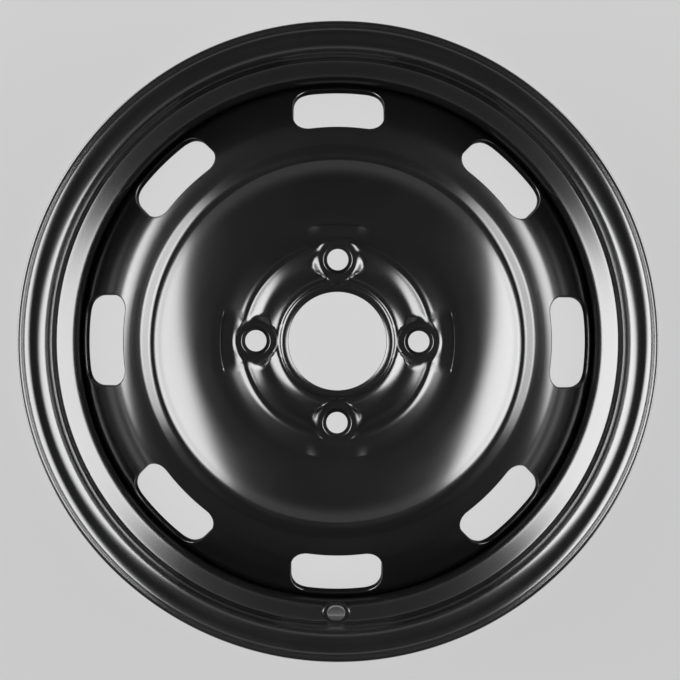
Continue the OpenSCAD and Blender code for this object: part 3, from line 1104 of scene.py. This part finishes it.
@dataclass
class WeldBeads:
    """Arc welds between the disc's skirt and the rim's well. Sizes are in millimetres."""

    corner_r: float = 170.2
    skirt_edge: float = -27.09
    leg: float = 3.4
    arc: float = 20.0
    count: int = 8
    ripple_pitch: float = 1.7
    ripple_depth: float = 0.16
    steps: int = 72

    def one_bead(self) -> bpy.types.Object:
        """Spins one bead in the corner and gives it its ripples.

        Returns:
            The bead, centred on the first gap between two vents.
        """
        bpy.ops.object.select_all(action="DESELECT")
        bpy.ops.mesh.primitive_circle_add(vertices=16, radius=1.0)
        bead = bpy.context.object
        bead.name = "weld_bead"
        bpy.ops.object.mode_set(mode="EDIT")
        bm = bmesh.from_edit_mesh(bead.data)
        size = self.leg
        for i, vert in enumerate(bm.verts):
            a = 2.0 * math.pi * i / 16
            across, down = math.cos(a), math.sin(a)
            r = self.corner_r - 0.47 * size + 0.5 * size * across
            z = self.skirt_edge - 0.44 * size - 0.5 * size * down
            vert.co = (min(r, self.corner_r + 0.1), 0.0, min(z, self.skirt_edge + 0.1))
        bmesh.update_edit_mesh(bead.data)
        bpy.ops.mesh.select_all(action="SELECT")
        bpy.ops.mesh.spin(steps=self.steps, angle=math.radians(self.arc), center=(0, 0, 0), axis=(0, 0, 1))
        bm = bmesh.from_edit_mesh(bead.data)
        bpy.ops.mesh.select_all(action="DESELECT")
        for edge in bm.edges:
            if len(edge.link_faces) == 1:
                edge.select_set(True)
        bpy.ops.mesh.edge_face_add()
        start = math.radians(180.0 / self.count - self.arc / 2.0)
        middle_r, middle_z = self.corner_r - 0.47 * size, self.skirt_edge - 0.44 * size
        for vert in bm.verts:
            r, a = math.hypot(vert.co.x, vert.co.y), abs(math.atan2(vert.co.y, vert.co.x))
            dr, dz = r - middle_r, vert.co.z - middle_z
            run = a * self.corner_r
            whole = math.radians(self.arc) * self.corner_r
            end = min(run, whole - run)
            taper = math.sqrt(min(1.0, 0.08 + end / 3.0))
            lag = run + 0.5 * abs(dr) + 0.5 * abs(dz)
            wave = 1.0 + self.ripple_depth * math.sin(2.0 * math.pi * lag / self.ripple_pitch) / (0.5 * size)
            r, z = middle_r + dr * taper * wave, middle_z + dz * taper * wave
            r, z = min(r, self.corner_r + 0.1), min(z, self.skirt_edge + 0.1)
            vert.co = (r * MM * math.cos(start + a), r * MM * math.sin(start + a), z * MM)
        bmesh.update_edit_mesh(bead.data)
        bpy.ops.mesh.select_all(action="SELECT")
        bpy.ops.mesh.normals_make_consistent(inside=False)
        bpy.ops.object.mode_set(mode="OBJECT")
        return bead

    def build(self) -> bpy.types.Object:
        """Copies the bead round the axle and joins the copies.

        Returns:
            The finished beads.
        """
        first = self.one_bead()
        beads = [first]
        for i in range(1, self.count):
            copy = first.copy()
            copy.data = first.data.copy()
            bpy.context.scene.collection.objects.link(copy)
            copy.data.transform(Matrix.Rotation(2.0 * math.pi * i / self.count, 4, "Z"))
            beads.append(copy)
        bpy.ops.object.select_all(action="DESELECT")
        for bead in beads:
            bead.select_set(True)
        bpy.context.view_layer.objects.active = first
        bpy.ops.object.join()
        first.name = "weld_bead_ring"
        bpy.ops.object.shade_smooth_by_angle(angle=math.radians(50.0))
        return first


@dataclass
class Studio:
    """Pale floor, two tall soft boxes and the camera above the wheel. Sizes are in millimetres."""

    camera_height: float = 2411.0
    camera_x: float = -22.0
    camera_y: float = 12.0
    lens: float = 192.6
    roll: float = 0.28
    aim_x: float = 1.16
    aim_y: float = 1.03
    aim_z: float = 61.0
    floor_z: float = -116.0
    box_distance: float = 1050.0
    box_low_y: float = -800.0
    box_high_y: float = 1520.0
    box_low_slope: float = 1000.0
    box_high_slope: float = 1100.0
    box_peak: float = 1850.0
    box_top: float = 2400.0
    room_level: float = 0.035
    horizon_level: float = 0.32

    def lay_floor(self) -> bpy.types.Object:
        """Returns:
            The floor.
        """
        bpy.ops.object.select_all(action="DESELECT")
        bpy.ops.mesh.primitive_plane_add(size=40.0, location=(0.0, 0.0, CAD_BOX[0][2] - 0.0002))
        floor = bpy.context.object
        floor.name = "floor"
        floor.data.materials.append(PaleFloorPaper().build())
        return floor

    def hang_box(self, side: Side, level: float) -> None:
        """Hangs one tall soft box beside the wheel, with edges that fade out.

        Args:
            side: Side of the wheel.
            level: Radiance of the middle of the box.
        """
        lamp = bpy.data.lights.new(f"softbox_{side.name.lower()}", "AREA")
        lamp.shape = "RECTANGLE"
        lamp.size = (self.box_high_y - self.box_low_y) * MM
        lamp.size_y = (self.box_top - self.floor_z) * MM
        lamp.energy = math.pi * lamp.size * lamp.size_y
        lamp.use_nodes = True
        tree = lamp.node_tree
        tree.nodes.clear()
        strength = self.box_strength(tree, level)
        glow = add_node(tree, "ShaderNodeEmission", {"Color": (1, 1, 1, 1)}, {"Strength": strength})
        add_node(tree, "ShaderNodeOutputLight", None, {"Surface": glow.outputs[0]})
        holder = bpy.data.objects.new(lamp.name, lamp)
        bpy.context.scene.collection.objects.link(holder)
        turn = Matrix(((0, 0, side.value), (side.value, 0, 0), (0, 1, 0))).to_4x4()
        middle = (self.box_low_y + self.box_high_y) / 2.0, (self.box_top + self.floor_z) / 2.0
        place = Vector((side.value * self.box_distance, middle[0], middle[1])) * MM
        holder.matrix_world = Matrix.Translation(place) @ turn

    def box_strength(self, tree: bpy.types.NodeTree, level: float) -> bpy.types.NodeSocket:
        """Adds the nodes that shape a lamp: its lit part is highest in the middle and fades upwards.

        Args:
            tree: Tree of the lamp.
            level: Radiance of the middle of the box.

        Returns:
            Radiance at each place on the lamp.
        """
        place = add_node(tree, "ShaderNodeNewGeometry").outputs["Position"]
        split = add_node(tree, "ShaderNodeSeparateXYZ", None, {"Vector": place})
        slopes = []
        for end, full in ((self.box_low_y, self.box_low_y + self.box_low_slope),
                          (self.box_high_y, self.box_high_y - self.box_high_slope)):
            slope = add_node(tree, "ShaderNodeMapRange",
                             {"From Min": end * MM, "From Max": full * MM, "To Min": 0.02, "To Max": 1.0},
                             {"Value": split.outputs["Y"]})
            slopes.append(slope.outputs["Result"])
        roof = add_node(tree, "ShaderNodeMath", {"operation": "MINIMUM"}, {0: slopes[0], 1: slopes[1]})
        edges = []
        for share in (1.5, 0.55):
            edge = add_node(tree, "ShaderNodeMath", {"operation": "MULTIPLY", 1: share * self.box_peak * MM},
                            {0: roof.outputs[0]})
            edges.append(edge.outputs[0])
        fade = add_node(tree, "ShaderNodeMapRange",
                        {"interpolation_type": "SMOOTHSTEP", "To Min": 0.0, "To Max": level},
                        {"Value": split.outputs["Z"], "From Min": edges[0], "From Max": edges[1]})
        return fade.outputs["Result"]

    def fill_world(self) -> None:
        """Makes the dim room round the wheel, which the camera sees as white."""
        world = bpy.data.worlds.new("room")
        bpy.context.scene.world = world
        world.use_nodes = True
        tree = world.node_tree
        tree.nodes.clear()
        path = add_node(tree, "ShaderNodeLightPath")
        way = add_node(tree, "ShaderNodeTexCoord").outputs["Generated"]
        split = add_node(tree, "ShaderNodeSeparateXYZ", None, {"Vector": way})
        fade = add_node(tree, "ShaderNodeMapRange",
                        {"interpolation_type": "SMOOTHSTEP", "From Min": 0.55, "From Max": 0.14,
                         "To Min": self.room_level, "To Max": self.horizon_level}, {"Value": split.outputs["Z"]})
        room = add_node(tree, "ShaderNodeBackground", {"Color": (1, 1, 1, 1)},
                        {"Strength": fade.outputs["Result"]})
        white = add_node(tree, "ShaderNodeBackground", {"Color": (1, 1, 1, 1), "Strength": 1.0})
        both = add_node(tree, "ShaderNodeMixShader", None, {0: path.outputs["Is Camera Ray"]})
        tree.links.new(room.outputs[0], both.inputs[1])
        tree.links.new(white.outputs[0], both.inputs[2])
        add_node(tree, "ShaderNodeOutputWorld", None, {"Surface": both.outputs[0]})

    def set_camera(self) -> None:
        """Puts the camera above the wheel."""
        data = bpy.data.cameras.new("camera")
        data.lens = self.lens
        data.sensor_width = 36.0
        data.clip_end = 100.0
        camera = bpy.data.objects.new("camera", data)
        bpy.context.scene.collection.objects.link(camera)
        place = Vector((self.camera_x, self.camera_y, self.camera_height)) * MM
        aim = Vector((self.aim_x, self.aim_y, self.aim_z)) * MM
        back = (place - aim).normalized()
        roll = math.radians(self.roll)
        up = Vector((-math.sin(roll), math.cos(roll), 0.0))
        right = up.cross(back).normalized()
        up = back.cross(right)
        turn = Matrix((right, up, back)).transposed().to_4x4()
        camera.matrix_world = Matrix.Translation(place) @ turn
        bpy.context.scene.camera = camera

    def build(self) -> None:
        """Builds the whole studio."""
        self.set_camera()
        self.lay_floor()
        self.hang_box(Side.LEFT, 6.0)
        self.hang_box(Side.RIGHT, 5.4)
        self.fill_world()
        bpy.context.scene.view_settings.view_transform = "Standard"


def main() -> None:
    """Builds the wheel and its studio in order."""
    logging.basicConfig(level=logging.INFO, format="%(message)s")
    Studio().build()
    paint = BlackDipPaint().build()
    disc = Disc()
    rim = Rim(skirt_top=disc.skirt_top, skirt_edge=disc.skirt_edge)
    beads = WeldBeads(skirt_edge=disc.skirt_edge)
    for maker, node in ((disc, "disc"), (rim, "rim"), (beads, "weld_beads")):
        piece = maker.build()
        dress(piece, paint, node)
        piece.data.calc_loop_triangles()
        LOG.info("%s: %d triangles", piece.name, len(piece.data.loop_triangles))


if __name__ == "__main__":
    main()
